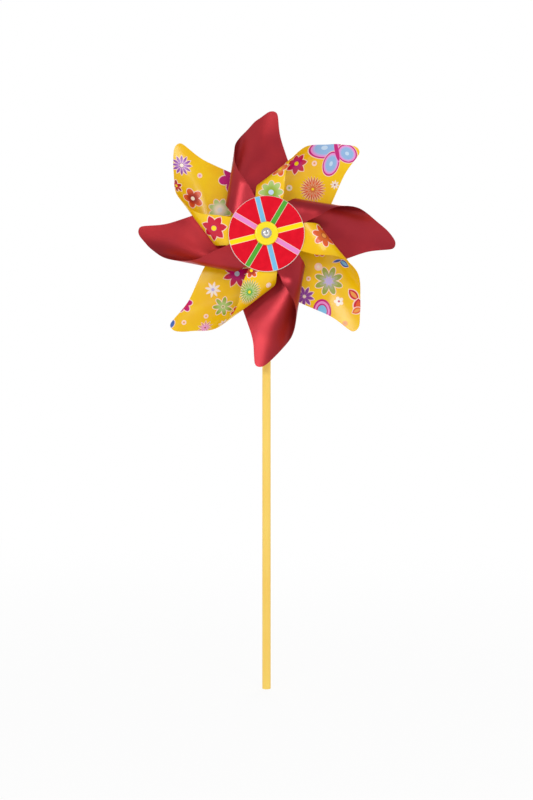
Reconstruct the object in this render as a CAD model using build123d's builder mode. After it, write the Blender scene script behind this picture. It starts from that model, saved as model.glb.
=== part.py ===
from build123d import *
import os
from math import atan, atan2, cos, degrees, pi, radians, sin, tan

# A garden windmill: eight curled film blades round a plastic hub, which spins on a steel pin at
# the top of a tubular stick. Millimetres. +Z is up and the windmill faces -Y. The origin is the
# centre of the stick's lower end, and the hub's axis crosses the stick's axis at hub_height.

os.makedirs("parts", exist_ok=True)

# ---- driving dimensions --------------------------------------------------------------------
hub_height = 425.0          # hub axis above the stick's lower end

stick_r = 4.0               # outer radius of the tube
stick_bore_r = 3.0          # inner radius of the tube
stick_length = 412.0

head_collar_r = 5.0         # shoulder that the tube butts against
head_plug_r = 2.95          # push fit inside the tube
head_plug_length = 20.0
head_socket_r = 6.0         # horizontal boss that holds the pin
head_socket_half = 6.0      # half of the boss's length

pin_r = 1.5                 # steel pin that the hub spins on
pin_head_r = 3.0
pin_head_height = 2.0
fixed_bore_r = 1.52         # bore of the pieces that grip the pin
running_bore_r = 1.58       # bore of the hub, which turns on the pin
end_gap = 0.3               # play between what turns and what stands still

cap_r = 4.5                 # push-on cap behind the stick
cap_length = 4.0
cap_cover = 0.8             # closed end of the cap
bead_r = 4.6                # spacer between the stick and the hub
washer_r = 4.7
washer_t = 0.6

blade_count = 8
film = 0.3                  # thickness of the blades' film
leaf_depth = 14.0           # the leaves' back plane, forward of the stick's axis
leaf_tilt = 2.5             # each leaf lies under its neighbour, so both its tabs tilt, degrees
leaf_lean = 9.4             # the leaf's long axis leans this much from the radius, degrees
bend_start = 26.5           # flat tab from the hub's centre line to the start of the curl
curl_half_depth = 12.6      # half of the curl's depth, front to back
curl_stations = 13          # cross-sections that the curl is lofted through
curl_top = (110.3, 42.5)    # height of the curl's upper edge where it starts and ends
curl_bottom = (26.5, 7.0)   # height of its lower edge
curl_top_swell = 2.7        # how far the upper edge waves off a straight line
curl_bottom_swell = 5.8     # how far the lower edge arches above a straight line

stud_pcr = 20.0             # pitch circle radius of the studs that hold the tabs
stud_r = 1.2
tab_hole_r = 2.1            # loose on the studs, so that the leaves can settle
back_stud_turn = -leaf_lean             # the studs' places on the circle, from straight up
front_stud_angle = 27.3                 # from the leaf's long axis to the stud of its front tab
front_stud_turn = front_stud_angle - leaf_lean

plate_r = 27.0              # stud plate and spool flange
ring_r = 25.0               # ring that clamps the back tabs
plate_t = 1.5
ring_t = 1.2
barrel_r = 6.0
barrel_rear = 12.0          # rear end of the spool's barrel, forward of the stick's axis
ring_rear = 15.15
flange_front = 39.9
disc_r = 34.7
disc_t = 1.2
disc_rear = 41.4
print_t = 0.2
print_r = 34.3
boss_r = 10.7
boss_height = 3.4
boss_recess = 1.6           # depth of the recess that takes the barrel's nose

# How far the crown of each leaf's curl stands from the leaf's long axis, and how far the whole
# leaf is turned on its studs. The leaves alternate between plain and printed film, and each
# one settles a little differently. They run clockwise from the top.
red_turn = -1.3
print_turn = 0.9
leaves = [
    ("blade_red_top", red_turn, 42.3),
    ("blade_print_top_right", print_turn, 45.5),
    ("blade_red_right", red_turn, 41.5),
    ("blade_print_bottom_right", print_turn, 46.5),
    ("blade_red_bottom", red_turn, 40.0),
    ("blade_print_bottom_left", print_turn, 42.5),
    ("blade_red_left", red_turn, 37.5),
    ("blade_print_top_left", print_turn, 44.5),
]

# The outline of a leaf's back tab and tip, from the top of the curl round to its lower end, and
# the outline of its front tab. x is across the leaf from the hub's centre line, y is along it.
back_outline = [
    (-bend_start, curl_top[0]), (-22.0, 115.6), (-17.4, 119.0), (-12.7, 118.7),
    (-10.2, 114.4), (-7.5, 104.0), (-4.1, 94.0), (1.2, 84.0), (6.6, 74.6), (12.3, 64.0),
    (15.6, 53.0), (15.2, 41.0), (10.8, 29.5), (4.8, 19.8), (-2.5, 14.2), (-10.2, 15.2),
    (-17.5, 21.0), (-bend_start, curl_bottom[0]),
]
front_outline = [
    (-bend_start, curl_top[1]), (-22.9, 38.7), (-16.8, 31.8), (-9.6, 25.6), (-4.6, 19.6),
    (-6.1, 14.0), (-11.6, 11.8), (-18.6, 10.2), (-bend_start, curl_bottom[1]),
]


def across(forward):
    """The plane square to the hub's axis, that far forward of the stick, facing forward."""
    return Plane(origin=(0, -forward, hub_height), x_dir=(1, 0, 0), z_dir=(0, -1, 0))


def swept(start, end, swell, wave, share):
    """Height of a curl's edge: a straight line between its ends, plus a wave."""
    return start + (end - start) * share + swell * sin(wave * pi * share)


# ---- stand: what stays still ---------------------------------------------------------------
with BuildPart() as stick_tube:
    with BuildSketch(Plane.XY):
        Circle(stick_r)
        Circle(stick_bore_r, mode=Mode.SUBTRACT)
    extrude(amount=stick_length)
stick_tube.part.label = "stick_tube"

with BuildPart() as stick_head:
    with BuildSketch(Plane.XY.offset(stick_length)):
        Circle(head_collar_r)
    extrude(amount=hub_height - stick_length)
    with BuildSketch(Plane.XY.offset(stick_length)):
        Circle(head_plug_r)
    extrude(amount=-head_plug_length)
    chamfer(stick_head.edges().sort_by(Axis.Z)[0], length=0.6)
    with BuildSketch(across(-head_socket_half)):
        Circle(head_socket_r)
    extrude(amount=2 * head_socket_half)
    rims = stick_head.edges().filter_by(GeomType.CIRCLE).group_by(SortBy.RADIUS)[-1]
    fillet(rims, radius=0.8)
    with BuildSketch(across(-head_socket_half)):
        Circle(fixed_bore_r)
    extrude(amount=2 * head_socket_half, mode=Mode.SUBTRACT)
stick_head.part.label = "stick_head"

pin_rear = -(head_socket_half + cap_length - cap_cover)
boss_front = disc_rear + disc_t + print_t + boss_height
washer_rear = boss_front + end_gap
pin_front = washer_rear + washer_t

with BuildPart() as axle_pin:
    with BuildSketch(across(pin_rear)):
        Circle(pin_r)
    extrude(amount=pin_front - pin_rear)
    with BuildSketch(across(pin_front)):
        Circle(pin_head_r)
    extrude(amount=pin_head_height)
    crown = axle_pin.edges().filter_by(GeomType.CIRCLE).sort_by(Axis.Y)[0]
    fillet(crown, radius=pin_head_height - 0.3)
axle_pin.part.label = "axle_pin"

with BuildPart() as rear_cap:
    with BuildSketch(across(-head_socket_half - cap_length)):
        Circle(cap_r)
    extrude(amount=cap_length)
    back_rim = rear_cap.edges().filter_by(GeomType.CIRCLE).sort_by(Axis.Y)[-1]
    fillet(back_rim, radius=1.8)
    with BuildSketch(across(-head_socket_half)):
        Circle(fixed_bore_r)
    extrude(amount=-(cap_length - cap_cover), mode=Mode.SUBTRACT)
rear_cap.part.label = "rear_cap"

bead_length = barrel_rear - end_gap - head_socket_half
with BuildPart() as spacer_bead:
    with BuildSketch(across(head_socket_half)):
        Circle(bead_r)
    extrude(amount=bead_length)
    fillet(spacer_bead.edges().filter_by(GeomType.CIRCLE), radius=1.9)
    with BuildSketch(across(head_socket_half)):
        Circle(fixed_bore_r)
    extrude(amount=bead_length, mode=Mode.SUBTRACT)
spacer_bead.part.label = "spacer_bead"

with BuildPart() as axle_washer:
    with BuildSketch(across(washer_rear)):
        Circle(washer_r)
        Circle(fixed_bore_r, mode=Mode.SUBTRACT)
    extrude(amount=washer_t)
axle_washer.part.label = "axle_washer"

# ---- rotor: the hub ------------------------------------------------------------------------
plate_front = barrel_rear + plate_t
stud_length = ring_rear + ring_t - plate_front - 0.1

with BuildPart() as back_stud_plate:
    with BuildSketch(across(barrel_rear)):
        Circle(plate_r)
        Circle(barrel_r, mode=Mode.SUBTRACT)
    extrude(amount=plate_t)
    rims = back_stud_plate.edges().filter_by(GeomType.CIRCLE).group_by(SortBy.RADIUS)[-1]
    fillet(rims, radius=0.5)
    with BuildSketch(across(plate_front)):
        with PolarLocations(stud_pcr, blade_count, start_angle=90 + back_stud_turn):
            Circle(stud_r)
    extrude(amount=stud_length)
back_stud_plate.part.label = "back_stud_plate"

with BuildPart() as clamp_ring:
    with BuildSketch(across(ring_rear)):
        Circle(ring_r)
        Circle(barrel_r, mode=Mode.SUBTRACT)
        with PolarLocations(stud_pcr, blade_count, start_angle=90 + back_stud_turn):
            Circle(stud_r + 0.05, mode=Mode.SUBTRACT)
    extrude(amount=ring_t)
clamp_ring.part.label = "clamp_ring"

nose_front = disc_rear + disc_t + print_t + boss_recess
with BuildPart() as hub_spool:
    with BuildSketch(across(barrel_rear)):
        Circle(barrel_r)
    extrude(amount=nose_front - barrel_rear)
    with BuildSketch(across(flange_front)):
        Circle(plate_r)
    extrude(amount=-plate_t)
    with BuildSketch(across(flange_front)):
        with PolarLocations(stud_pcr, blade_count, start_angle=90 + front_stud_turn):
            Circle(stud_r)
    extrude(amount=disc_rear - flange_front)
    rims = hub_spool.edges().filter_by(GeomType.CIRCLE).group_by(SortBy.RADIUS)[-1]
    fillet(rims, radius=0.5)
    with BuildSketch(across(barrel_rear)):
        Circle(running_bore_r)
    extrude(amount=nose_front - barrel_rear, mode=Mode.SUBTRACT)
hub_spool.part.label = "hub_spool"

with BuildPart() as front_disc:
    with BuildSketch(across(disc_rear)):
        Circle(disc_r)
        Circle(barrel_r, mode=Mode.SUBTRACT)
    extrude(amount=disc_t)
    rims = front_disc.edges().filter_by(GeomType.CIRCLE).group_by(SortBy.RADIUS)[-1]
    fillet(rims, radius=0.4)
front_disc.part.label = "front_disc"

with BuildPart() as disc_print:
    with BuildSketch(across(disc_rear + disc_t)):
        Circle(print_r)
        Circle(barrel_r, mode=Mode.SUBTRACT)
    extrude(amount=print_t)
disc_print.part.label = "disc_print"

with BuildPart() as centre_boss:
    with BuildSketch(across(boss_front - boss_height)):
        Circle(boss_r)
    extrude(amount=boss_height)
    front_rim = centre_boss.edges().filter_by(GeomType.CIRCLE).sort_by(Axis.Y)[0]
    fillet(front_rim, radius=1.6)
    with BuildSketch(across(boss_front - boss_height)):
        Circle(barrel_r)
    extrude(amount=boss_recess, mode=Mode.SUBTRACT)
    with BuildSketch(across(boss_front)):
        Circle(running_bore_r)
    extrude(amount=-boss_height, mode=Mode.SUBTRACT)
centre_boss.part.label = "centre_boss"

# ---- rotor: the leaves ---------------------------------------------------------------------
# A leaf is a flat back tab with the tip, a curl whose cross-section is half an ellipse, and a
# flat front tab. In the leaf's own plane x is across it, y along it, and z is depth.
tilt = radians(leaf_tilt)
front_angle = radians(90 - leaf_lean + front_stud_angle)
front_hole = (stud_pcr * cos(radians(90 + front_stud_angle)), stud_pcr * cos(radians(front_stud_angle)))
blades = []
for number, (name, turn, reach) in enumerate(leaves):
    heading = radians(turn - leaf_lean - number * 360 / blade_count)
    leaf = Plane(
        origin=(0, -leaf_depth, hub_height), x_dir=(cos(heading), 0, sin(heading)), z_dir=(0, -1, 0)
    )
    # the ellipse's half width, from where the curl's crown has to stand
    half_width = reach - bend_start * cos(tilt)
    enter = atan(half_width * tan(tilt) / curl_half_depth)
    centre_x = -bend_start * cos(tilt) + half_width * sin(enter)
    centre_z = bend_start * sin(tilt) + curl_half_depth * cos(enter)
    front_z = centre_z + curl_half_depth * cos(enter) + bend_start * sin(tilt)

    with BuildPart() as blade:
        with BuildSketch(Plane(leaf.location * Rot(0, leaf_tilt, 0))):
            with BuildLine():
                Spline(*back_outline)
                Line(back_outline[-1], back_outline[0])
            make_face()
            with Locations((0, stud_pcr)):
                Circle(tab_hole_r, mode=Mode.SUBTRACT)
        extrude(amount=film)
        with BuildSketch(Plane(leaf.location * Pos(0, 0, front_z) * Rot(0, -leaf_tilt, 0))):
            with BuildLine():
                Spline(*front_outline)
                Line(front_outline[-1], front_outline[0])
            make_face()
            with Locations(front_hole):
                Circle(tab_hole_r, mode=Mode.SUBTRACT)
        extrude(amount=-film)
        for station in range(curl_stations):
            share = station / (curl_stations - 1)
            angle = enter + (pi - 2 * enter) * share
            low = swept(*curl_bottom, curl_bottom_swell, 1, share)
            high = swept(*curl_top, curl_top_swell, 2, share)
            facing = degrees(atan2(-half_width * cos(angle), curl_half_depth * sin(angle)))
            place = Pos(centre_x - half_width * sin(angle), 0, centre_z - curl_half_depth * cos(angle))
            with BuildSketch(Plane(leaf.location * place * Rot(0, facing, 0))):
                with BuildLine():
                    Polyline((0, low), (film, low), (film, high), (0, high), close=True)
                make_face()
        loft()
    blade.part.label = name
    blades.append(blade)

# ---- written pieces ------------------------------------------------------------------------
pieces = [
    stick_tube, stick_head, axle_pin, rear_cap, spacer_bead, axle_washer, back_stud_plate,
    clamp_ring, hub_spool, front_disc, disc_print, centre_boss, *blades,
]
for piece in pieces:
    export_step(piece.part, f"parts/{piece.part.label}.step")
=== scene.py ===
"""The looks of a garden windmill: eight curled film leaves, a printed hub disc and a plain stick.

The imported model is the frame. The hub, the pin and the stick keep their CAD meshes and get their
finishes here. Each leaf is cut from flat film, curled as its CAD solid is, and printed.
Lengths are in millimetres until a point is placed, and then in metres.
"""

import logging
import math
from dataclasses import dataclass
from enum import Enum
from typing import Any, Mapping, Sequence

import bpy
import numpy as np
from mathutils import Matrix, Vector
from mathutils.geometry import delaunay_2d_cdt


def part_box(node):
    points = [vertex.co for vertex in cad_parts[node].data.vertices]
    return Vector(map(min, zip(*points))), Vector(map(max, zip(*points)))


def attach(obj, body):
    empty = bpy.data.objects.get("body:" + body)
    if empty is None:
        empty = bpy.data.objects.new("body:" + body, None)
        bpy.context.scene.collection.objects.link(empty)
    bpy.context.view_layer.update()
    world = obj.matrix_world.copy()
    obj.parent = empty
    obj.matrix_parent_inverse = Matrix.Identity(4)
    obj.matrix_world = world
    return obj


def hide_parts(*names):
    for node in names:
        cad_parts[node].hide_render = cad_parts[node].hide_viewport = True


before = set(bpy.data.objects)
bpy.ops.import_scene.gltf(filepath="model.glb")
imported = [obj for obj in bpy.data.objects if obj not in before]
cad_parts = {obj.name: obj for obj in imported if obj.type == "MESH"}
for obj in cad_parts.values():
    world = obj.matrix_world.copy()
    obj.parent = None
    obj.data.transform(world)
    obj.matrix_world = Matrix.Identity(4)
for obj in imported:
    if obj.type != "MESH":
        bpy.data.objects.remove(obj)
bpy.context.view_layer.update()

MM = 0.001               # metres in a millimetre
FILM_MAP = "film"        # the UV map that holds a leaf's flat coordinates, in millimetres
log = logging.getLogger("windmill")

CURL_STEPS = 160         # steps in the walk across the film to a point
HALF_CURL_STEPS = 200    # steps over half a curl, for the shares of its length
HOLE_POINTS = 20         # points round a stud hole
SHEET_WALK = np.linspace(-30.0, 160.0, 1901)     # mm, across the whole flat sheet and past it

Colour = tuple[float, float, float]
Place = tuple[float, float, float]       # metres


class Ink(Enum):
    """The colours of the prints and the plastics, as 8-bit sRGB."""

    YELLOW = (248, 203, 0)
    AMBER = (244, 190, 0)
    RED = (222, 0, 33)
    PINK = (236, 140, 208)
    SKY = (122, 190, 232)
    PALE_SKY = (196, 218, 240)
    SKY_BLUSH = (190, 172, 226)
    POWDER = (146, 184, 226)
    LEAF_GREEN = (84, 170, 52)
    LEMON = (255, 226, 8)
    PURPLE = (142, 66, 160)
    LILAC = (178, 120, 208)
    LAVENDER = (192, 178, 230)
    MAGENTA = (196, 4, 118)
    CRIMSON = (206, 6, 48)
    ORANGE = (230, 88, 30)
    APRICOT = (240, 158, 70)
    BRICK = (168, 44, 28)
    RUST = (214, 104, 34)
    TAN = (222, 150, 92)
    GREEN = (150, 176, 44)
    MINT = (178, 206, 120)
    OLIVE = (152, 168, 62)
    MOSS = (168, 176, 128)
    BLUE = (66, 100, 178)
    BLUSH = (254, 216, 200)
    CREAM = (252, 236, 214)
    WHITE = (238, 238, 234)
    STICK = (254, 216, 108)
    BOSS = (255, 230, 24)

    @property
    def linear(self) -> Colour:
        """The ink as scene-linear red, green and blue."""
        return tuple(_to_linear(part / 255) for part in self.value)


def _to_linear(part: float) -> float:
    """One sRGB channel from 0 to 1 as scene-linear light."""
    return part / 12.92 if part <= 0.04045 else ((part + 0.055) / 1.055) ** 2.4


def ease(value: np.ndarray, low: float, high: float) -> np.ndarray:
    """A smooth step from 0 at low to 1 at high."""
    share = np.clip((value - low) / (high - low), 0.0, 1.0)
    return share * share * (3 - 2 * share)


# ---- shader maths --------------------------------------------------------------------------
class Signal:
    """One output socket of a shader node. Arithmetic on it adds Math nodes."""

    def __init__(self, paint: "Paint", socket: bpy.types.NodeSocket) -> None:
        """Keeps the socket and the material that it belongs to."""
        self.paint = paint
        self.socket = socket

    def __add__(self, other: "Signal | float") -> "Signal":
        """This value plus another."""
        return self.paint.maths("ADD", self, other)

    def __radd__(self, other: float) -> "Signal":
        """A number plus this value."""
        return self.paint.maths("ADD", other, self)

    def __sub__(self, other: "Signal | float") -> "Signal":
        """This value less another."""
        return self.paint.maths("SUBTRACT", self, other)

    def __rsub__(self, other: float) -> "Signal":
        """A number less this value."""
        return self.paint.maths("SUBTRACT", other, self)

    def __mul__(self, other: "Signal | float") -> "Signal":
        """This value times another."""
        return self.paint.maths("MULTIPLY", self, other)

    def __rmul__(self, other: float) -> "Signal":
        """A number times this value."""
        return self.paint.maths("MULTIPLY", other, self)

    def __truediv__(self, other: "Signal | float") -> "Signal":
        """This value over another."""
        return self.paint.maths("DIVIDE", self, other)

    def __pow__(self, other: float) -> "Signal":
        """This value to a power."""
        return self.paint.maths("POWER", self, other)


class Paint:
    """Builds the node tree of one material or of the world."""

    def __init__(self, owner: bpy.types.ID) -> None:
        """Empties the owner's node tree.

        Args:
            owner: The material or world to build in.
        """
        owner.use_nodes = True
        self.owner = owner
        self.tree = owner.node_tree
        self.tree.nodes.clear()

    @classmethod
    def material(cls, name: str) -> "Paint":
        """A Paint for a new material of that name."""
        return cls(bpy.data.materials.new(name))

    def add(
        self,
        kind: str,
        settings: Mapping[str, Any] | None = None,
        sockets: Mapping[str | int, Any] | None = None,
        output: str | int = 0,
    ) -> Signal:
        """Adds one node.

        Args:
            kind: The node's type.
            settings: Its own properties, set before its sockets.
            sockets: A value, colour, vector or Signal for each input that is used.
            output: The output that is wanted.

        Returns:
            That output.
        """
        node = self.tree.nodes.new(kind)
        for key, value in (settings or {}).items():
            setattr(node, key, value)
        for key, value in (sockets or {}).items():
            if isinstance(value, Signal):
                self.tree.links.new(value.socket, node.inputs[key])
            elif isinstance(value, tuple) and len(node.inputs[key].default_value) == len(value) + 1:
                node.inputs[key].default_value = (*value, 1.0)
            else:
                node.inputs[key].default_value = value
        return Signal(self, node.outputs[output])

    def maths(self, operation: str, *values: Signal | float) -> Signal:
        """A Math node on one, two or three values."""
        return self.add("ShaderNodeMath", {"operation": operation}, dict(enumerate(values)))

    def vector(self, operation: str, *values: Any, output: str | int = 0) -> Signal:
        """A Vector Math node on one or two vectors."""
        return self.add("ShaderNodeVectorMath", {"operation": operation}, dict(enumerate(values)), output)

    def ease(self, value: Signal, low: float, high: float, start: float = 0.0, end: float = 1.0) -> Signal:
        """A smooth step of a value.

        Args:
            value: What is stepped.
            low: Where the step starts.
            high: Where it ends; below low, the step falls.
            start: The result before the step.
            end: The result after it.

        Returns:
            The stepped value.
        """
        sockets = {"Value": value, "From Min": low, "From Max": high, "To Min": start, "To Max": end}
        return self.add("ShaderNodeMapRange", {"interpolation_type": "SMOOTHSTEP"}, sockets)

    def mix(self, share: Signal, under: Signal | Colour, over: Signal | Colour) -> Signal:
        """Lays one colour over another.

        Args:
            share: 0 where the lower colour shows and 1 where the upper one does.
            under: The lower colour.
            over: The upper colour.

        Returns:
            The mixed colour.
        """
        return self.add("ShaderNodeMix", {"data_type": "RGBA"}, {0: share, 6: under, 7: over}, 2)

    def here(self) -> Signal:
        """The point on the surface, in the object's own metres."""
        return self.add("ShaderNodeTexCoord", output="Object")

    def off_axis(self, height: float) -> Signal:
        """How far the surface is from the hub's axis, which lies at that height, in metres."""
        below = self.vector("SUBTRACT", self.here(), (0.0, 0.0, height))
        return self.vector("LENGTH", self.vector("MULTIPLY", below, (1.0, 0.0, 1.0)), output="Value")

    def stretched(self, place: Signal, scale: tuple[float, float, float]) -> Signal:
        """A place with each axis scaled, for a texture that runs one way."""
        return self.vector("MULTIPLY", place, scale)

    def noise(self, place: Signal, scale: float, detail: float = 2.0) -> Signal:
        """Soft noise from 0 to 1.

        Args:
            place: Where it is read.
            scale: Waves per unit of place.
            detail: Octaves of finer noise.

        Returns:
            The noise's value.
        """
        return self.add("ShaderNodeTexNoise", None, {"Vector": place, "Scale": scale, "Detail": detail})

    def bump(self, height: Signal, depth: float) -> Signal:
        """A Bump node at full strength, for a relief from 0 to 1 that many metres deep."""
        return self.add("ShaderNodeBump", None, {"Strength": 1.0, "Distance": depth, "Height": height})

    def shine(self, sockets: Mapping[str | int, Any]) -> bpy.types.Material:
        """Ends the material with a Principled shader.

        Args:
            sockets: The shader's inputs.

        Returns:
            The finished material.
        """
        shader = self.add("ShaderNodeBsdfPrincipled", None, sockets)
        self.add_end("ShaderNodeOutputMaterial", shader)
        return self.owner

    def add_end(self, kind: str, shader: Signal) -> None:
        """Adds the output node, which has no socket of its own to hand on."""
        node = self.tree.nodes.new(kind)
        self.tree.links.new(shader.socket, node.inputs["Surface"])


# ---- finishes ------------------------------------------------------------------------------
@dataclass(frozen=True)
class MouldedPlastic:
    """Glossy moulded plastic, with faint flow marks and rings left by the turned mould."""

    name: str
    ink: Ink
    roughness: float = 0.32
    ring_pitch: float = 0.9          # mm between the mould's turning rings
    ring_depth: float = 0.004        # mm

    def make(self, axis_height: float) -> bpy.types.Material:
        """Makes the material.

        Args:
            axis_height: Height of the hub's axis, which the rings run round, in metres.

        Returns:
            The material.
        """
        paint = Paint.material(self.name)
        here = paint.here()
        radius = paint.off_axis(axis_height)
        rings = paint.maths("SINE", radius * (2 * math.pi / (self.ring_pitch * MM))) * 0.5 + 0.5
        flow = paint.noise(here, 90.0, 3.0)
        grain = paint.noise(here, 2600.0, 2.0)
        body = self.ink.linear
        shade = tuple(part * 0.90 for part in body)
        warm = tuple(min(1.0, part * lift) for part, lift in zip(body, (1.02, 0.98, 0.90)))
        colour = paint.mix(paint.ease(flow, 0.35, 0.70), warm, body)
        colour = paint.mix(paint.ease(grain, 0.62, 0.80, 0.0, 0.5), colour, shade)
        relief = rings * 0.4 + grain * 0.6
        return paint.shine({
            "Base Color": colour,
            "Roughness": flow * 0.10 + grain * 0.06 + (self.roughness - 0.08),
            "Normal": paint.bump(relief, self.ring_depth * MM),
            "Subsurface Weight": 0.04,
            "Subsurface Scale": 0.001,
            "Coat Weight": 0.15,
            "Coat Roughness": 0.12,
        })


@dataclass(frozen=True)
class ExtrudedTube:
    """Satin extruded plastic, drawn lengthwise."""

    name: str
    ink: Ink

    def make(self) -> bpy.types.Material:
        """Makes the material, with draw lines that run up the tube.

        Returns:
            The material.
        """
        paint = Paint.material(self.name)
        here = paint.here()
        lines = paint.noise(paint.stretched(here, (1.0, 1.0, 0.012)), 2400.0, 3.0)
        cloud = paint.noise(paint.stretched(here, (1.0, 1.0, 0.25)), 60.0, 2.0)
        specks = paint.noise(here, 1500.0, 1.0)
        body = self.ink.linear
        deep = (body[0] * 0.97, body[1] * 0.92, body[2] * 0.82)
        pale = (min(1.0, body[0] * 1.02), body[1] * 1.04, body[2] * 1.15)
        colour = paint.mix(paint.ease(cloud, 0.3, 0.7), deep, body)
        colour = paint.mix(paint.ease(lines, 0.55, 0.75, 0.0, 0.6), colour, pale)
        colour = paint.mix(paint.ease(specks, 0.72, 0.78, 0.0, 0.35), colour, deep)
        return paint.shine({
            "Base Color": colour,
            "Roughness": lines * 0.16 + 0.44,
            "Normal": paint.bump(lines * 0.8 + specks * 0.2, 0.010 * MM),
            "Specular IOR Level": 0.25,
            "Subsurface Weight": 0.05,
            "Subsurface Scale": 0.001,
        })


@dataclass(frozen=True)
class PlatedSteel:
    """Bright plated steel with turning marks."""

    name: str = "plated_steel"
    tint: Colour = (0.92, 0.92, 0.91)

    def make(self, axis_height: float) -> bpy.types.Material:
        """Makes the material.

        Args:
            axis_height: Height of the pin's axis, in metres.

        Returns:
            The material.
        """
        paint = Paint.material(self.name)
        here = paint.here()
        turned = paint.add("ShaderNodeCombineXYZ", None, {"X": paint.off_axis(axis_height)})
        rings = paint.noise(turned, 9000.0, 2.0)
        wear = paint.noise(here, 700.0, 3.0)
        dull = tuple(part * 0.72 for part in self.tint)
        return paint.shine({
            "Base Color": paint.mix(paint.ease(wear, 0.45, 0.75), self.tint, dull),
            "Metallic": 1.0,
            "Roughness": wear * 0.14 + rings * 0.06 + 0.10,
            "Normal": paint.bump(rings, 0.003 * MM),
        })


@dataclass(frozen=True)
class PrintedDisc:
    """The disc's red print with its eight stripes."""

    name: str = "disc_print"
    stripe_width: float = 5.0        # mm
    first_stripe: float = 14.2       # degrees above straight right
    line: float = 0.35               # mm, the pale line along each stripe's edge
    inks: tuple[Ink, ...] = (Ink.LEMON, Ink.LEAF_GREEN, Ink.SKY, Ink.PINK)

    def make(self, axis_height: float) -> bpy.types.Material:
        """Makes the material.

        Args:
            axis_height: Height of the hub's axis, in metres.

        Returns:
            The material.
        """
        paint = Paint.material(self.name)
        here = paint.here()
        off_axis = paint.vector("SUBTRACT", here, (0.0, 0.0, axis_height))
        flat = paint.vector("MULTIPLY", off_axis, (1 / MM, 1 / MM, 1 / MM))
        fibre = paint.noise(here, 1800.0, 3.0)
        mottle = paint.noise(here, 160.0, 2.0)
        red = Ink.RED.linear
        bright = (red[0] * 1.10, red[1] + 0.002, red[2] * 1.25)
        colour = paint.mix(paint.ease(mottle, 0.35, 0.7), red, bright)
        colour = paint.mix(paint.ease(fibre, 0.60, 0.85, 0.0, 0.15), colour, (0.9, 0.08, 0.10))
        pale = Ink.BLUSH.linear
        for number, ink in enumerate(self.inks):
            angle = math.radians(self.first_stripe + 180 / len(self.inks) * number)
            square = (-math.sin(angle), 0.0, math.cos(angle))
            across = paint.vector("DOT_PRODUCT", flat, square, output="Value")
            off_line = paint.maths("ABSOLUTE", across)
            half = self.stripe_width / 2
            colour = paint.mix(paint.ease(off_line, half + 0.06, half - 0.06), colour, pale)
            fill = half - self.line
            colour = paint.mix(paint.ease(off_line, fill + 0.06, fill - 0.06), colour, ink.linear)
        return paint.shine({
            "Base Color": colour,
            "Roughness": fibre * 0.12 + mottle * 0.10 + 0.38,
            "Normal": paint.bump(fibre, 0.006 * MM),
            "Specular IOR Level": 0.10,
            "Coat Weight": 0.05,
            "Coat Roughness": 0.25,
        })


@dataclass(frozen=True)
class RedFilm:
    """Red metallised film with a satin sheen."""

    name: str = "red_film"
    body: Colour = (0.44, 0.018, 0.025)
    deep: Colour = (0.35, 0.011, 0.022)
    roughness: float = 0.35

    def make(self) -> bpy.types.Material:
        """Makes the material: clouded metal under a thin clear coat, with fine handling marks.

        Returns:
            The material.
        """
        paint = Paint.material(self.name)
        here = paint.here()
        cloud = paint.noise(here, 28.0, 3.0)
        sputter = paint.noise(here, 3800.0, 2.0)
        marks = paint.noise(paint.stretched(here, (1.0, 1.0, 0.06)), 900.0, 4.0)
        colour = paint.mix(paint.ease(cloud, 0.3, 0.7), self.deep, self.body)
        colour = paint.mix(paint.ease(sputter, 0.60, 0.85, 0.0, 0.35), colour, (0.60, 0.06, 0.07))
        return paint.shine({
            "Base Color": colour,
            "Metallic": cloud * 0.06 + 0.86,
            "Roughness": cloud * 0.06 + sputter * 0.06 + marks * 0.05 + (self.roughness - 0.08),
            "Normal": paint.bump(sputter * 0.6 + marks * 0.4, 0.006 * MM),
            "Coat Weight": 0.35,
            "Coat Roughness": 0.3,
        })


class Petal(Enum):
    """The two shapes that a printed petal, leaf or wing has."""

    ROUND = "round"
    POINTED = "pointed"


@dataclass(frozen=True)
class Oval:
    """A printed oval of one colour inside another: a dot, a leaf or a butterfly's wing."""

    place: tuple[float, float]               # mm across and along the flat film
    half: tuple[float, float]                # mm, half its length and half its width
    bands: tuple[tuple[float, Ink], ...]     # from the outside in: share of the size, and ink
    turn: float = 0.0                        # degrees from the film's cross direction
    petal: Petal = Petal.ROUND

    def draw(self, paint: Paint, film: Signal, under: Signal) -> Signal:
        """Prints the oval.

        Args:
            paint: The material that it is printed in.
            film: The flat film's coordinates.
            under: The colour so far.

        Returns:
            The colour with the oval on it.
        """
        sockets = {
            "Vector": film,
            "Location": (*self.place, 0.0),
            "Rotation": (0.0, 0.0, math.radians(self.turn)),
            "Scale": (*self.half, 1.0),
        }
        own = paint.add("ShaderNodeMapping", {"vector_type": "TEXTURE"}, sockets)
        if self.petal is Petal.ROUND:
            reach = paint.vector("LENGTH", own, output="Value")
        else:
            along = paint.vector("DOT_PRODUCT", own, (1.0, 0.0, 0.0), output="Value")
            aside = paint.vector("DOT_PRODUCT", own, (0.0, 1.0, 0.0), output="Value")
            reach = along * along + paint.maths("ABSOLUTE", aside)
        soft = 0.12 / min(self.half)
        colour = under
        for share, ink in self.bands:
            colour = paint.mix(paint.ease(reach, share + soft, share - soft), colour, ink.linear)
        return colour


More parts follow.
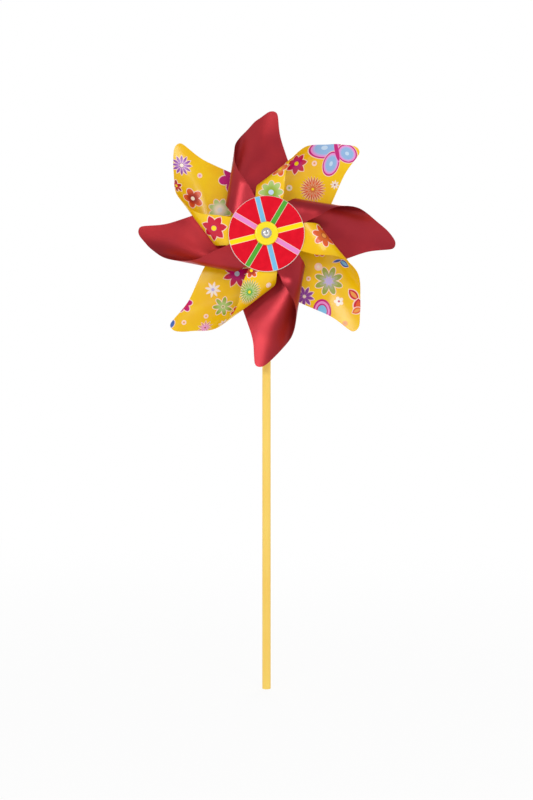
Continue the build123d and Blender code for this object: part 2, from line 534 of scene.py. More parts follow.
@dataclass(frozen=True)
class Flower:
    """A printed flower: petals round a heart, with a pale outline."""

    place: tuple[float, float]               # mm across and along the flat film
    radius: float                            # mm to the petals' tips
    petals: int
    tip: Ink
    root: Ink
    heart: Ink
    width: float                             # half a petal's width, as a share of the radius
    petal: Petal = Petal.ROUND
    start: float = 0.12                      # where the petals start, as a share of the radius
    heart_share: float = 0.22
    ring: Ink | None = None                  # ink of a thin ring round the heart
    outline: float = 0.75                    # mm
    turn: float = 0.0                        # degrees

    def draw(self, paint: Paint, film: Signal, under: Signal) -> Signal:
        """Prints the flower.

        Args:
            paint: The material that it is printed in.
            film: The flat film's coordinates.
            under: The colour so far.

        Returns:
            The colour with the flower on it.
        """
        own = paint.vector("SUBTRACT", film, (*self.place, 0.0))
        radius = paint.vector("LENGTH", own, output="Value")
        across = paint.vector("DOT_PRODUCT", own, (1.0, 0.0, 0.0), output="Value")
        along = paint.vector("DOT_PRODUCT", own, (0.0, 1.0, 0.0), output="Value")
        angle = paint.maths("ARCTAN2", along, across) - math.radians(self.turn)
        aside = paint.maths("PINGPONG", angle, math.pi / self.petals)
        out = radius * paint.maths("COSINE", aside)
        side = radius * paint.maths("SINE", aside)
        middle = self.radius * (1 + self.start) / 2
        half = self.radius * (1 - self.start) / 2
        width = self.radius * self.width

        def petals(grow: float) -> Signal:
            """Finds where the petals are.

            Args:
                grow: How much each petal is grown all round, in mm.

            Returns:
                1 on the petals and 0 off them.
            """
            length = ((out - middle) / (half + grow)) ** 2.0
            edge = side / (width + grow)
            reach = length + (edge * edge if self.petal is Petal.ROUND else edge)
            soft = 0.15 / (width + grow)
            return paint.ease(reach, 1 + soft, 1 - soft)

        colour = paint.mix(petals(self.outline), under, Ink.BLUSH.linear)
        outward = paint.ease(radius, self.radius * 0.25, self.radius * 0.85)
        colour = paint.mix(petals(0.0), colour, paint.mix(outward, self.root.linear, self.tip.linear))
        heart = self.radius * self.heart_share
        if self.ring:
            colour = paint.mix(paint.ease(radius, heart + 0.75, heart + 0.45), colour, self.ring.linear)
        return paint.mix(paint.ease(radius, heart + 0.15, heart - 0.15), colour, self.heart.linear)


Motif = Flower | Oval


def dot(across: float, along: float, radius: float, ring: Ink = Ink.BLUSH, eye: Ink = Ink.APRICOT) -> Oval:
    """A small printed dot with an eye.

    Args:
        across: Its place across the flat film, in mm.
        along: Its place along the flat film, in mm.
        radius: Its radius, in mm.
        ring: The dot's ink.
        eye: The ink at its middle.

    Returns:
        The dot.
    """
    return Oval((across, along), (radius, radius), ((1.0, ring), (0.4, eye)))


def wing(across: float, along: float, half: tuple[float, float], turn: float) -> Oval:
    """A butterfly's wing: magenta round pink round blue.

    Args:
        across: Its place across the flat film, in mm.
        along: Its place along the flat film, in mm.
        half: Half its length and half its width, in mm.
        turn: Its direction, in degrees.

    Returns:
        The wing.
    """
    edge = ((1.06, Ink.BLUSH), (1.0, Ink.MAGENTA), (0.87, Ink.PINK))
    middle = ((0.74, Ink.SKY_BLUSH), (0.62, Ink.POWDER), (0.2, Ink.PALE_SKY))
    return Oval((across, along), half, edge + middle, turn)


@dataclass(frozen=True)
class PrintedFilm:
    """Glossy yellow film, printed on both faces."""

    name: str
    motifs: tuple[Motif, ...]

    def make(self) -> bpy.types.Material:
        """Makes the material: clouded yellow, the motifs one over another, and a clear gloss.

        Returns:
            The material.
        """
        paint = Paint.material(self.name)
        here = paint.here()
        film = paint.add("ShaderNodeUVMap", {"uv_map": FILM_MAP})
        cloud = paint.noise(here, 45.0, 3.0)
        fine = paint.noise(here, 2600.0, 2.0)
        colour = paint.mix(paint.ease(cloud, 0.32, 0.68), Ink.AMBER.linear, Ink.YELLOW.linear)
        for motif in self.motifs:
            colour = motif.draw(paint, film, colour)
        colour = paint.mix(paint.ease(fine, 0.66, 0.85, 0.0, 0.10), colour, Ink.CREAM.linear)
        return paint.shine({
            "Base Color": colour,
            "Roughness": cloud * 0.08 + fine * 0.06 + 0.30,
            "Normal": paint.bump(fine, 0.004 * MM),
            "Specular IOR Level": 0.05,
            "Coat Weight": 0.65,
            "Coat Roughness": 0.2,
            "Coat IOR": 1.55,
        })


# ---- the leaves ----------------------------------------------------------------------------
class Film(Enum):
    """The two films that the leaves are cut from, as the record's material slots."""

    RED = "red_film"
    PRINTED = "printed_film"


@dataclass(frozen=True)
class LeafCut:
    """The flat cut of a leaf, and how it is curled. All leaves share it. Millimetres."""

    thickness: float = 0.2
    plane_depth: float = 14.0        # the leaves' back plane, forward of the stick's axis
    front_depth: float = 27.55       # from that plane to the front tab, at the hub's centre line
    tilt: float = math.radians(2.5)
    lean: float = 9.4                # degrees between the leaf's long axis and the radius
    flat_reach: float = 26.5         # how far the tabs' outlines go from the long axis
    stud_circle: float = 20.0
    front_stud: float = math.radians(27.3)   # from the leaf's long axis
    stud_hole: float = 2.1
    loosened: float = 95.0           # where the curl is fully open, along the leaf
    tip_bend: tuple[float, float] = (66.0, 92.0)     # where the tip bends forward, along the leaf
    flare: tuple[float, float] = (30.0, 0.02)        # where the crown starts to stand out, and its rate
    # The outline as it is seen from the front: across the leaf from its long axis, and along it.
    back: tuple[tuple[float, float], ...] = (
        (-26.5, 110.0), (-22.0, 115.6), (-17.4, 119.0), (-12.7, 118.7), (-10.2, 114.4),
        (-7.5, 104.0), (-4.1, 94.0), (1.2, 84.0), (6.6, 74.6), (12.3, 64.0), (15.6, 53.0),
        (15.2, 41.0), (10.8, 29.5), (4.8, 19.8), (-2.5, 14.2), (-10.2, 15.2), (-17.5, 21.0),
        (-26.5, 26.5),
    )
    front: tuple[tuple[float, float], ...] = (
        (-26.5, 7.0), (-18.6, 10.2), (-11.6, 11.8), (-6.1, 14.0), (-4.6, 19.6), (-9.6, 25.0),
        (-17.6, 31.8), (-23.6, 37.6),
    )
    # The curl's edges: how far out towards the crown, and along. The crown's own point is 1.
    low_edge: tuple[tuple[float, float], ...] = (
        (0.5, 26.1), (0.87, 25.0), (1.0, 22.5), (0.87, 18.5), (0.5, 13.2),
    )
    high_edge: tuple[tuple[float, float], ...] = (
        (0.40, 46.0), (0.72, 52.5), (0.94, 61.5), (1.0, 74.0), (0.93, 84.0), (0.77, 90.2),
        (0.50, 97.6), (0.22, 105.0),
    )


@dataclass
class Leaf:
    """One leaf, cut from flat film and curled forward to the hub.

    The film's slope is known all over the flat sheet, and a point's place is found by walking
    across the film to it.
    """

    name: str
    number: int                      # clockwise from the top
    turn: float                      # degrees that the leaf has settled on its studs
    reach: float                     # mm from the long axis to the curl's crown
    film: Film
    axis_height: float               # m, the hub's axis above the stick's foot
    flap: float = 0.0                # mm that the flap lies further along than the cut's
    shoulder: float = 0.0            # mm that the outer edge does, past the crown
    tip: float = 0.0                 # mm that the tip does
    tip_tilt: float = 5.0            # degrees that the tip leans forward
    loosens: float = 41.0            # mm along, where the curl begins to open
    loose_start: float = 4.0         # mm from the long axis, where the opened curl starts
    cut: LeafCut = LeafCut()
    spacing: float = 1.5             # mm between the mesh's points
    count: int = 8

    def __post_init__(self) -> None:
        """Works out where the curl starts at the hub, so that it reaches its crown and its front."""
        cut = self.cut
        share = (np.arange(2 * HALF_CURL_STEPS) + 0.5) / (2 * HALF_CURL_STEPS)
        slope = cut.tilt + (math.pi - 2 * cut.tilt) * ease(share, 0.0, 1.0)
        self.out_share = float(np.cos(slope[:HALF_CURL_STEPS]).mean() / 2)
        ratio = self.out_share / float(np.sin(slope).mean())
        lean = math.cos(cut.tilt) - 2 * ratio * math.sin(cut.tilt)
        self.start = (self.reach - ratio * cut.front_depth) / lean
        self.heading = math.radians(self.turn - cut.lean - self.number * 360 / self.count)

    def curl(self, along: np.ndarray) -> tuple[np.ndarray, np.ndarray]:
        """Finds the curl at places along the leaf.

        Args:
            along: The places.

        Returns:
            Where the curl starts and how much film is in it.
        """
        cut = self.cut
        loose = ease(along, self.loosens, cut.loosened)
        start = self.start + (self.loose_start - self.start) * loose
        return start, (self.crown(along) - start * math.cos(cut.tilt)) / self.out_share

    def crown(self, along: np.ndarray) -> np.ndarray:
        """How far the curl's crown stands from the long axis, at places along the leaf."""
        begins, rate = self.cut.flare
        return self.reach + rate * np.maximum(0.0, along - begins)

    def slope(self, across: np.ndarray, along: np.ndarray) -> np.ndarray:
        """The film's slope at points of the flat sheet, from flat at the back to turned right over."""
        start, length = self.curl(along)
        return self.cut.tilt + (math.pi - 2 * self.cut.tilt) * ease(across, start, start + length)

    def place(self, flat: np.ndarray) -> np.ndarray:
        """Where points of the flat film's outer face lie.

        Args:
            flat: Their places across and along the flat film.

        Returns:
            Their places in the row frame, in metres.
        """
        across, along = flat[:, 0], flat[:, 1]
        slope = self.slope(across * (np.arange(CURL_STEPS)[:, None] + 0.5) / CURL_STEPS, along)
        x = -across * np.cos(slope).mean(0)
        depth = across * np.sin(slope).mean(0) + self.cut.plane_depth
        depth = depth + self.settle(x, along, slope[-1] / math.pi)
        cos, sin = math.cos(self.heading), math.sin(self.heading)
        spots = np.stack([x * cos - along * sin, -depth, x * sin + along * cos], -1)
        return spots * MM + (0.0, 0.0, self.axis_height)

    def settle(self, x: np.ndarray, along: np.ndarray, share: np.ndarray) -> np.ndarray:
        """How far the film stands forward of the plain curl.

        The clamped tabs stay flat. Away from the hub the sheet waves a little and the tip lifts.

        Args:
            x: Places across the leaf.
            along: Places along the leaf.
            share: The share of the curl passed.

        Returns:
            The depths to add.
        """
        free = ease(np.hypot(x, along) - 7.0 * share, 27.0, 62.0)
        phase = 1.7 * self.number
        wave = 0.22 * np.sin(along / 11.0 + x / 17.0 + phase)
        wave += 0.16 * np.sin(x / 7.5 - along / 23.0 + 2 * phase)
        first, last = self.cut.tip_bend
        bent = np.maximum(0.0, (along - first) / (last - first))
        rise = (last - first) * np.where(bent < 1, bent**3 - bent**4 / 2, bent - 0.5)
        return free * wave * (1 - 0.7 * share) + math.tan(math.radians(self.tip_tilt)) * rise

    def normals(self, flat: np.ndarray) -> np.ndarray:
        """Finds which way the outer face looks.

        Args:
            flat: Points of the flat film.

        Returns:
            The face's normal at each of them.
        """
        step = 0.2
        side = self.place(flat + (step, 0.0)) - self.place(flat - (step, 0.0))
        length = self.place(flat + (0.0, step)) - self.place(flat - (0.0, step))
        across = np.cross(side, length)
        return across / np.linalg.norm(across, axis=1)[:, None]

    def flatten(self, x: float, along: float, front: bool) -> tuple[float, float]:
        """Finds the point of the flat film that is seen at a place.

        Args:
            x: The place across the leaf.
            along: The place along the leaf.
            front: Whether it is on the front of the curl, past the crown.

        Returns:
            The point on the flat film.
        """
        walk = SHEET_WALK
        lean = np.cos(self.slope(walk, np.full_like(walk, along)))
        seen = -np.concatenate([[0.0], np.cumsum((lean[1:] + lean[:-1]) / 2 * np.diff(walk))])
        seen -= np.interp(0.0, walk, seen)
        crown = int(np.argmin(seen))
        if front:
            return float(np.interp(x, seen[crown:], walk[crown:])), along
        return float(np.interp(-x, -seen[: crown + 1], walk[: crown + 1])), along

    def outline(self) -> np.ndarray:
        """Draws the leaf's whole flat outline.

        Returns:
            Evenly spaced points round one smooth ring.
        """
        cut = self.cut
        ring = []
        for x, along in cut.back:
            ring.append(self.flatten(x, along + self.tip * float(ease(along, 92.0, 116.0)), False))
        ring += self.curl_edge(cut.low_edge, False, 0.0, 0.0)
        for x, along in cut.front:
            ring.append(self.flatten(x, along + self.flap * float(ease(along, 25.0, 42.0)), True))
        ring += self.curl_edge(cut.high_edge, True, self.flap, self.shoulder)
        return smooth_ring(np.array(ring), self.spacing * 0.8)

    def curl_edge(
        self, edge: Sequence[tuple[float, float]], front: bool, before: float, after: float
    ) -> list[tuple[float, float]]:
        """Points along one edge of the curl.

        Args:
            edge: How far out towards the crown, and along, for each point.
            front: Whether the edge starts on the front of the curl.
            before: How much further along it lies before the crown.
            after: How much further along it lies past the crown.

        Returns:
            The points on the flat film.
        """
        points = []
        for share, cut_along in edge:
            if share == 1.0:
                along = cut_along + (before + after) / 3
                start, length = self.curl(np.array(along))
                front = not front
                points.append((float(start + length / 2), along))
                continue
            along = cut_along + (before if front else after * min(1.0, 1.5 * share))
            x = -self.cut.flat_reach - (float(self.crown(along)) - self.cut.flat_reach) * share
            points.append(self.flatten(x, along, front))
        return points

    def holes(self) -> list[np.ndarray]:
        """Draws the two stud holes on the flat film.

        Returns:
            The points round each hole.
        """
        cut = self.cut
        front = -cut.stud_circle * math.sin(cut.front_stud), cut.stud_circle * math.cos(cut.front_stud)
        centres = [(0.0, cut.stud_circle), self.flatten(*front, True)]
        turns = np.arange(HOLE_POINTS) * 2 * math.pi / HOLE_POINTS
        circle = np.stack([np.cos(turns), np.sin(turns)], -1) * cut.stud_hole
        return [circle + np.array(centre) for centre in centres]

    def triangles(self) -> tuple[list[Vector], list[tuple[int, int, int]]]:
        """Cuts the flat film into triangles, with the stud holes left open.

        Returns:
            The points and the faces.
        """
        rings = [self.outline(), *self.holes()]
        outline = rings[0]
        points: list[tuple[float, float]] = []
        edges: list[tuple[int, int]] = []
        for ring in rings:
            first = len(points)
            points += [(float(a), float(b)) for a, b in ring]
            edges += [(first + i, first + (i + 1) % len(ring)) for i in range(len(ring))]
        border = np.array(points)
        row_gap = self.spacing * math.sqrt(3) / 2
        low, high = outline.min(0), outline.max(0)
        for row in range(int((high[0] - low[0]) / row_gap) + 1):
            across = low[0] + (row + 0.5) * row_gap
            for step in range(int((high[1] - low[1]) / self.spacing) + 1):
                along = low[1] + (step + 0.5 * (row % 2)) * self.spacing
                clear = np.hypot(*(border - (across, along)).T).min() > self.spacing * 0.55
                if clear and inside(outline, across, along):
                    points.append((across, along))
        corners, _, faces, *_ = delaunay_2d_cdt([Vector(p) for p in points], edges, [], 1, 1e-5)
        open_at = [ring.mean(0) for ring in rings[1:]]

        def kept(face: Sequence[int]) -> bool:
            """Whether a face is film, and not the inside of a stud hole."""
            middle = sum((corners[i] for i in face), Vector((0.0, 0.0))) / 3
            return all(math.dist(middle, hole) > self.cut.stud_hole for hole in open_at)

        return corners, [tuple(face) for face in faces if kept(face)]

    def build(self) -> bpy.types.Object:
        """Makes the leaf's closed mesh and puts it on the rotor.

        Returns:
            The leaf.
        """
        flat, faces = self.triangles()
        count = len(flat)
        sheet = np.array(flat)
        outer, normals = self.place(sheet), self.normals(sheet)
        inner = outer - normals * self.cut.thickness * MM
        walls = rim(faces)
        shell = list(faces)
        shell += [tuple(count + i for i in reversed(face)) for face in faces]
        shell += [(b, a, count + a, count + b) for a, b in walls]
        mesh = bpy.data.meshes.new(self.name)
        mesh.from_pydata(np.concatenate([outer, inner]).tolist(), [], shell)
        film_map = mesh.uv_layers.new(name=FILM_MAP)
        facing = []
        for polygon in mesh.polygons:
            polygon.use_smooth = True
            for loop in polygon.loop_indices:
                vertex = mesh.loops[loop].vertex_index
                film_map.data[loop].uv = flat[vertex % count]
                sign = 0.0 if len(polygon.vertices) == 4 else (1.0 if vertex < count else -1.0)
                facing.append(normals[vertex % count] * sign)
        edge_of = {frozenset(edge.vertices): edge for edge in mesh.edges}
        for a, b in walls:
            edge_of[frozenset((a, b))].use_edge_sharp = True
            edge_of[frozenset((count + a, count + b))].use_edge_sharp = True
        mesh.normals_split_custom_set([tuple(normal) for normal in facing])
        piece = bpy.data.objects.new(self.name + "_film", mesh)
        bpy.context.scene.collection.objects.link(piece)
        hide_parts(self.name)
        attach(piece, "rotor")
        return piece


def smooth_ring(points: np.ndarray, gap: float) -> np.ndarray:
    """A closed smooth curve through points, with continuous curvature.

    Args:
        points: The points, in order, without the first one again at the end.
        gap: The distance between the curve's own points.

    Returns:
        Points along the curve.
    """
    count = len(points)
    span = np.hypot(*(np.roll(points, -1, 0) - points).T) ** 0.5
    before = np.roll(span, 1)
    slope = (np.roll(points, -1, 0) - points) / span[:, None]
    system = np.diag(2 * (before + span))
    for i in range(count):
        system[i, i - 1] += before[i]
        system[i, (i + 1) % count] += span[i]
    bend = np.linalg.solve(system, 6 * (slope - np.roll(slope, 1, 0)))
    curve = []
    for i in range(count):
        after = (i + 1) % count
        steps = max(2, math.ceil(math.dist(points[i], points[after]) / gap))
        for t in np.arange(steps) / steps * span[i]:
            s = span[i] - t
            run = (bend[i] * s**3 + bend[after] * t**3) / (6 * span[i])
            run += (points[i] / span[i] - bend[i] * span[i] / 6) * s
            run += (points[after] / span[i] - bend[after] * span[i] / 6) * t
            curve.append(run)
    return np.array(curve)


def inside(ring: np.ndarray, x: float, y: float) -> bool:
    """Finds whether a point lies inside a closed ring.

    Args:
        ring: The ring's points, in order.
        x: The point's first coordinate.
        y: Its second.

    Returns:
        True inside the ring.
    """
    after = np.roll(ring, -1, 0)
    crosses = (ring[:, 1] > y) != (after[:, 1] > y)
    rise = np.where(crosses, after[:, 1] - ring[:, 1], 1.0)
    at = ring[:, 0] + (y - ring[:, 1]) / rise * (after[:, 0] - ring[:, 0])
    return bool(np.count_nonzero(crosses & (at > x)) % 2)


def rim(faces: Sequence[tuple[int, int, int]]) -> list[tuple[int, int]]:
    """The edges that only one face has, each in that face's own direction."""
    directed = {(face[i], face[(i + 1) % 3]) for face in faces for i in range(3)}
    return sorted(edge for edge in directed if edge[::-1] not in directed)


TOP_LEFT_PRINT = (
    Flower(
        (24, 101), 9.6, 12, Ink.PURPLE, Ink.LILAC, Ink.CREAM, 0.12, Petal.POINTED, 0.2, 0.2,
        Ink.PURPLE, turn=7,
    ),
    dot(15.5, 84, 2.4, Ink.BLUSH, Ink.PINK),
    Flower((-7, 63.5), 12.4, 5, Ink.MAGENTA, Ink.MAGENTA, Ink.LEMON, 0.33, heart_share=0.12, turn=100),
    Flower(
        (34.4, 70), 9.8, 5, Ink.ORANGE, Ink.BRICK, Ink.CREAM, 0.33, heart_share=0.2, ring=Ink.BRICK, turn=30,
    ),
    Flower((43, 87), 6.5, 6, Ink.BRICK, Ink.CRIMSON, Ink.LEMON, 0.22, turn=10),
    # Pale mint petals round a cream root and a white heart. This is partly the flower's own pale print and
    # partly a painted glare, where the film near the hub catches the softbox.
    Flower((19.5, 47), 10.5, 8, Ink.MINT, Ink.CREAM, Ink.WHITE, 0.24, turn=12),
    Flower(
        (65, 33), 12, 7, Ink.CRIMSON, Ink.CRIMSON, Ink.LEMON, 0.27, Petal.POINTED, 0.05, 0.2,
        Ink.MAGENTA, turn=20,
    ),
    Flower((0, 38), 7, 8, Ink.CREAM, Ink.WHITE, Ink.LAVENDER, 0.13, Petal.POINTED, outline=0.4),
    dot(46, 52, 2.2),
)
TOP_RIGHT_PRINT = (
    wing(36, 92.3, (16.6, 10.0), -53.5),
    wing(19.8, 89.5, (11.4, 7.5), 55),
    wing(18.4, 107, (9.8, 8.0), -24),
    Oval((26.5, 100.5), (9.6, 1.9), ((1.1, Ink.PINK), (1.0, Ink.MAGENTA)), 22),
    Flower((40, 63), 10.4, 7, Ink.CRIMSON, Ink.MAGENTA, Ink.LEMON, 0.26, Petal.POINTED, 0.05, 0.2, turn=15),
    Flower((57, 46), 8.5, 5, Ink.ORANGE, Ink.APRICOT, Ink.LEMON, 0.32, turn=50),
    dot(29.5, 77, 2.5),
    dot(25, 45, 2.8, Ink.CREAM, Ink.MINT),
    Flower((11, 62), 12, 24, Ink.RUST, Ink.ORANGE, Ink.TAN, 0.065, Petal.POINTED, 0.1, 0.06, outline=0.35),
    Flower((11, 62), 7.0, 12, Ink.TAN, Ink.RUST, Ink.LEMON, 0.11, Petal.POINTED, 0.05, 0.17, outline=0.15),
    Flower(
        (2, 81), 4.2, 8, Ink.CREAM, Ink.WHITE, Ink.BRICK, 0.12, Petal.POINTED, outline=0.3, heart_share=0.18,
    ),
    Flower((71, 26), 11, 8, Ink.MINT, Ink.GREEN, Ink.PALE_SKY, 0.24, turn=8),
    Flower((4, 36), 8, 8, Ink.PURPLE, Ink.LILAC, Ink.CREAM, 0.13, Petal.POINTED, 0.2, 0.2, turn=5),
)
BOTTOM_RIGHT_PRINT = (
    Flower((61, 32), 11.4, 7, Ink.ORANGE, Ink.RUST, Ink.APRICOT, 0.24, turn=5, ring=Ink.BRICK),
    Flower((23, 67), 13.4, 8, Ink.OLIVE, Ink.MOSS, Ink.LAVENDER, 0.19, start=0.2, heart_share=0.24, turn=14),
    Flower(
        (23, 67), 8.6, 8, Ink.MOSS, Ink.LAVENDER, Ink.LAVENDER, 0.13, start=0.2,
        heart_share=0.3, outline=0.05, turn=14,
    ),
    Oval((46, 63), (5.8, 3.4), ((1.2, Ink.BLUSH), (1.0, Ink.BLUE), (0.55, Ink.SKY)), 60, Petal.POINTED),
    Oval((41, 57), (5.0, 1.2), ((1.4, Ink.BLUSH), (1.0, Ink.BLUE)), 20, Petal.POINTED),
    dot(23, 50.5, 3.6, Ink.BLUSH, Ink.CREAM),
    dot(9, 54, 2.2),
    Flower((-4, 65), 9.5, 9, Ink.PURPLE, Ink.PURPLE, Ink.CREAM, 0.16, Petal.POINTED, 0.1, 0.16, turn=12),
    Oval(
        (1, 86), (11.5, 8.6),
        ((1.0, Ink.MAGENTA), (0.82, Ink.PINK), (0.62, Ink.MAGENTA), (0.5, Ink.SKY)), -54,
    ),
    Oval(
        (34.1, 91.5), (6.6, 3.8), ((1.3, Ink.BLUSH), (1.0, Ink.CRIMSON), (0.5, Ink.APRICOT)),
        -95, Petal.POINTED,
    ),
    Oval(
        (31, 102), (7.0, 4.2), ((1.3, Ink.BLUSH), (1.0, Ink.CRIMSON), (0.55, Ink.ORANGE)),
        -45, Petal.POINTED,
    ),
    Oval(
        (27.2, 105), (5.0, 2.8), ((1.3, Ink.BLUSH), (1.0, Ink.ORANGE), (0.55, Ink.APRICOT)),
        10, Petal.POINTED,
    ),
    Flower((19, 88), 4.4, 5, Ink.CREAM, Ink.WHITE, Ink.CRIMSON, 0.34, outline=0.3, heart_share=0.24),
    dot(11, 108, 2.6, Ink.APRICOT, Ink.TAN),
    Flower((33, 39), 6, 5, Ink.ORANGE, Ink.BRICK, Ink.CREAM, 0.33, turn=20),
    dot(50, 45, 2.2),
)
BOTTOM_LEFT_PRINT = (
    Flower(
        (10.5, 42), 13.4, 8, Ink.CRIMSON, Ink.MAGENTA, Ink.PALE_SKY, 0.19, Petal.POINTED,
        0.05, 0.18, turn=18,
    ),
    Flower(
        (9, 69), 7.4, 8, Ink.CREAM, Ink.WHITE, Ink.LAVENDER, 0.12, Petal.POINTED, 0.05, 0.2,
        outline=0.4, turn=4,
    ),
    Flower((28, 71), 9.6, 7, Ink.GREEN, Ink.MINT, Ink.GREEN, 0.19, start=0.15, heart_share=0.1, turn=22),
    dot(26, 89, 2.3),
    dot(18, 109, 2.3),
    Flower((3, 99), 8.5, 6, Ink.MAGENTA, Ink.CRIMSON, Ink.LEMON, 0.3, turn=0),
    Oval((12, 119.5), (4.2, 2.8), ((1.2, Ink.BLUSH), (1.0, Ink.BLUE)), 70),
    Flower((36, 96), 7.5, 10, Ink.TAN, Ink.PINK, Ink.BRICK, 0.11, Petal.POINTED, 0.1, 0.12, outline=0.5),
    Flower(
        (64, 44), 11.4, 26, Ink.GREEN, Ink.GREEN, Ink.LEMON, 0.06, Petal.POINTED, 0.1, 0.06, outline=0.35,
    ),
    Flower(
        (64, 44), 6.8, 13, Ink.MINT, Ink.LEAF_GREEN, Ink.LEMON, 0.10, Petal.POINTED, 0.05, 0.2, outline=0.15,
    ),
    Flower((78, 31), 6.5, 6, Ink.ORANGE, Ink.BRICK, Ink.LEMON, 0.28),
    dot(57, 26, 2.6, Ink.BLUSH, Ink.CREAM),
    Flower((43, 63), 7, 5, Ink.ORANGE, Ink.CRIMSON, Ink.LEMON, 0.33, turn=40),
    Flower((48, 80), 6, 8, Ink.CREAM, Ink.WHITE, Ink.LAVENDER, 0.12, Petal.POINTED, outline=0.4),
)


@dataclass
class Leaves:
    """The eight leaves, red and printed in turn, clockwise from the top."""

    axis_height: float               # m
    red_turn: float = -1.3           # degrees
    print_turn: float = 0.9          # degrees

    def build(self) -> list[bpy.types.Object]:
        """Cuts, curls and dresses every leaf.

        Returns:
            The leaves.
        """
        red = RedFilm().make()
        plan = (
            ("blade_red_top", 42.7, None, {"flap": 3.0, "shoulder": -3.5, "tip": -2.0, "tip_tilt": 1.5}),
            ("blade_print_top_right", 42.9, TOP_RIGHT_PRINT, {"shoulder": -3.0, "tip": -1.4}),
            ("blade_red_right", 39.2, None, {"flap": 5.0, "shoulder": -1.5}),
            ("blade_print_bottom_right", 45.4, BOTTOM_RIGHT_PRINT, {
                "flap": 3.5, "shoulder": -1.5, "tip_tilt": 11.0,
            }),
            ("blade_red_bottom", 40.4, None, {
                "flap": 5.0, "shoulder": 2.0, "tip": 0.6, "tip_tilt": 6.0,
                "loosens": 34.0, "loose_start": -4.0,
            }),
            ("blade_print_bottom_left", 41.6, BOTTOM_LEFT_PRINT, {"flap": 9.0, "shoulder": 3.5, "tip": 2.4}),
            ("blade_red_left", 37.8, None, {"flap": 7.0, "shoulder": 3.0, "tip": -0.5, "tip_tilt": 2.0}),
            ("blade_print_top_left", 43.6, TOP_LEFT_PRINT, {"flap": 1.0, "shoulder": -2.0}),
        )
        pieces = []
        for number, (name, reach, motifs, shape) in enumerate(plan):
            film, turn = (Film.PRINTED, self.print_turn) if motifs else (Film.RED, self.red_turn)
            leaf = Leaf(name, number, turn, reach, film, self.axis_height, **shape)
            piece = leaf.build()
            finish = PrintedFilm(name.replace("blade", "film"), motifs).make() if motifs else red
            piece.data.materials.append(finish)
            log.info("%s: %d faces, curl from %.1f mm", piece.name, len(piece.data.polygons), leaf.start)
            pieces.append(piece)
        return pieces


# ---- the hub and the stand -----------------------------------------------------------------
def dress(node: str, finish: bpy.types.Material) -> None:
    """Gives a CAD node its finish.

    Args:
        node: The node's name.
        finish: The material for all of its slots.
    """
    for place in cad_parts[node].material_slots:
        place.material = finish
    log.info("%s: dressed in %s", node, finish.name)


@dataclass
class Hub:
    """The turning plastic hub, with its printed disc."""

    axis_height: float               # m
    white_parts: tuple[str, ...] = ("back_stud_plate", "clamp_ring", "hub_spool", "front_disc")
    print_part: str = "disc_print"
    boss_part: str = "centre_boss"

    def dress(self, white: bpy.types.Material) -> None:
        """Dresses the hub.

        Args:
            white: The white plastic, which the stand shares.
        """
        for part in self.white_parts:
            dress(part, white)
        dress(self.print_part, PrintedDisc().make(self.axis_height))
        yellow = MouldedPlastic("yellow_plastic", Ink.BOSS, 0.24, 1.1, 0.003)
        dress(self.boss_part, yellow.make(self.axis_height))


@dataclass
class Stand:
    """The stick, its head, and the pin that the hub turns on."""

    axis_height: float               # m
    tube: str = "stick_tube"
    white_parts: tuple[str, ...] = ("stick_head", "rear_cap", "spacer_bead")
    steel_parts: tuple[str, ...] = ("axle_pin", "axle_washer")

    def dress(self, white: bpy.types.Material) -> None:
        """Dresses the stand.

        Args:
            white: The white plastic, which the hub shares.
        """
        steel = PlatedSteel().make(self.axis_height)
        dress(self.tube, ExtrudedTube("stick_plastic", Ink.STICK).make())
        for part in self.white_parts:
            dress(part, white)
        for part in self.steel_parts:
            dress(part, steel)


# ---- the studio ----------------------------------------------------------------------------
@dataclass(frozen=True)
class Softbox:
    """One large soft light."""

    name: str
    place: Place
    aim: Place
    size: tuple[float, float]        # metres, wide and high
    watts: float

    def build(self) -> None:
        """Hangs the light and aims it."""
        lamp = bpy.data.lights.new(self.name, "AREA")
        lamp.shape = "RECTANGLE"
        lamp.size, lamp.size_y = self.size
        lamp.energy = self.watts
        box = bpy.data.objects.new(self.name, lamp)
        box.location = self.place
        box.rotation_euler = (Vector(self.aim) - Vector(self.place)).to_track_quat("-Z", "Y").to_euler()
        bpy.context.scene.collection.objects.link(box)


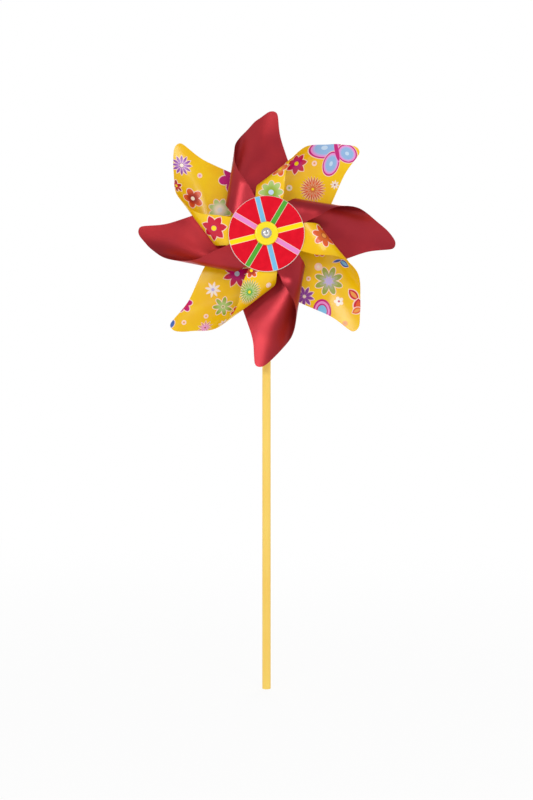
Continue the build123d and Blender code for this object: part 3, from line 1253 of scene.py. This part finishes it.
@dataclass
class Studio:
    """A pale floor, a white surround, two softboxes in front and one behind."""

    fill: float = 0.78               # light from the surround
    overhead: float = 0.50           # the same from above, where the room is darker
    camera_side: float = 0.38        # the surround's share on the camera's side
    floor_size: float = 24.0         # metres
    camera_place: Place = (0.0, -1.050, 0.2735)
    lens: float = 49.8               # mm, on a 36 mm long side
    lights: tuple[Softbox, ...] = (
        Softbox("softbox_left", (-0.54, -1.45, 0.80), (0.0, 0.0, 0.42), (0.52, 0.30), 4.0),
        Softbox("softbox_right", (0.54, -1.45, 1.20), (0.0, 0.0, 0.42), (0.48, 0.45), 4.5),
        Softbox("softbox_back", (0.3, 1.7, 1.2), (0.0, 0.0, 0.35), (1.6, 1.0), 14.0),
    )

    def build(self) -> None:
        """Sets the floor, the surround, the lights and the camera."""
        self.floor()
        self.surround()
        for light in self.lights:
            light.build()
        lens = bpy.data.cameras.new("camera")
        lens.lens = self.lens
        camera = bpy.data.objects.new("camera", lens)
        camera.location = self.camera_place
        camera.rotation_euler = (math.pi / 2, 0.0, 0.0)
        bpy.context.scene.collection.objects.link(camera)
        bpy.context.scene.camera = camera
        bpy.context.scene.view_settings.view_transform = "Standard"

    def floor(self) -> None:
        """Lays a wide pale floor that fades into the surround."""
        half = self.floor_size / 2
        mesh = bpy.data.meshes.new("floor")
        corners = [(-half, -half, 0), (half, -half, 0), (half, half, 0), (-half, half, 0)]
        mesh.from_pydata(corners, [], [(0, 1, 2, 3)])
        floor = bpy.data.objects.new("floor", mesh)
        bpy.context.scene.collection.objects.link(floor)
        paint = Paint.material("floor")
        here = paint.here()
        away = paint.ease(paint.vector("LENGTH", here, output="Value"), 0.05, 1.2, 0.88, 1.0)
        tone = paint.noise(here, 3.0, 2.0)
        colour = paint.mix(tone, (0.90, 0.90, 0.90), (0.94, 0.94, 0.94))
        matt = paint.add("ShaderNodeBsdfDiffuse", None, {"Color": colour})
        far = paint.add("ShaderNodeEmission", None, {"Color": (1.0, 1.0, 1.0), "Strength": 1.0})
        floor_shader = paint.add("ShaderNodeMixShader", None, {0: away, 1: matt, 2: far})
        paint.add_end("ShaderNodeOutputMaterial", floor_shader)
        mesh.materials.append(paint.owner)

    def surround(self) -> None:
        """Sets the white world, which lights the object more from the sides than from above."""
        world = bpy.data.worlds.new("surround")
        bpy.context.scene.world = world
        paint = Paint(world)
        way = paint.add("ShaderNodeTexCoord", output="Generated")
        up = paint.vector("DOT_PRODUCT", way, (0.0, 0.0, 1.0), output="Value")
        ahead = paint.vector("DOT_PRODUCT", way, (0.0, -1.0, 0.0), output="Value")
        above = paint.ease(up, 0.30, 0.85, self.fill, self.overhead)
        glow = above * paint.ease(ahead, 0.7, 0.96, 1.0, self.camera_side)
        lit = paint.add("ShaderNodeBackground", None, {"Color": (1.0, 1.0, 1.0), "Strength": glow})
        seen = paint.add("ShaderNodeBackground", None, {"Color": (1.0, 1.0, 1.0), "Strength": 1.0})
        looked_at = paint.add("ShaderNodeLightPath", output="Is Camera Ray")
        shown = paint.add("ShaderNodeMixShader", None, {0: looked_at, 1: lit, 2: seen})
        paint.add_end("ShaderNodeOutputWorld", shown)


def main() -> None:
    """Builds the leaves, dresses the hub and the stand, and sets the studio."""
    logging.basicConfig(level=logging.INFO, format="%(name)s: %(message)s")
    low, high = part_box("front_disc")
    axis_height = (low.z + high.z) / 2
    white = MouldedPlastic("white_plastic", Ink.WHITE).make(axis_height)
    Leaves(axis_height).build()
    Hub(axis_height).dress(white)
    Stand(axis_height).dress(white)
    Studio().build()


if __name__ == "__main__":
    main()
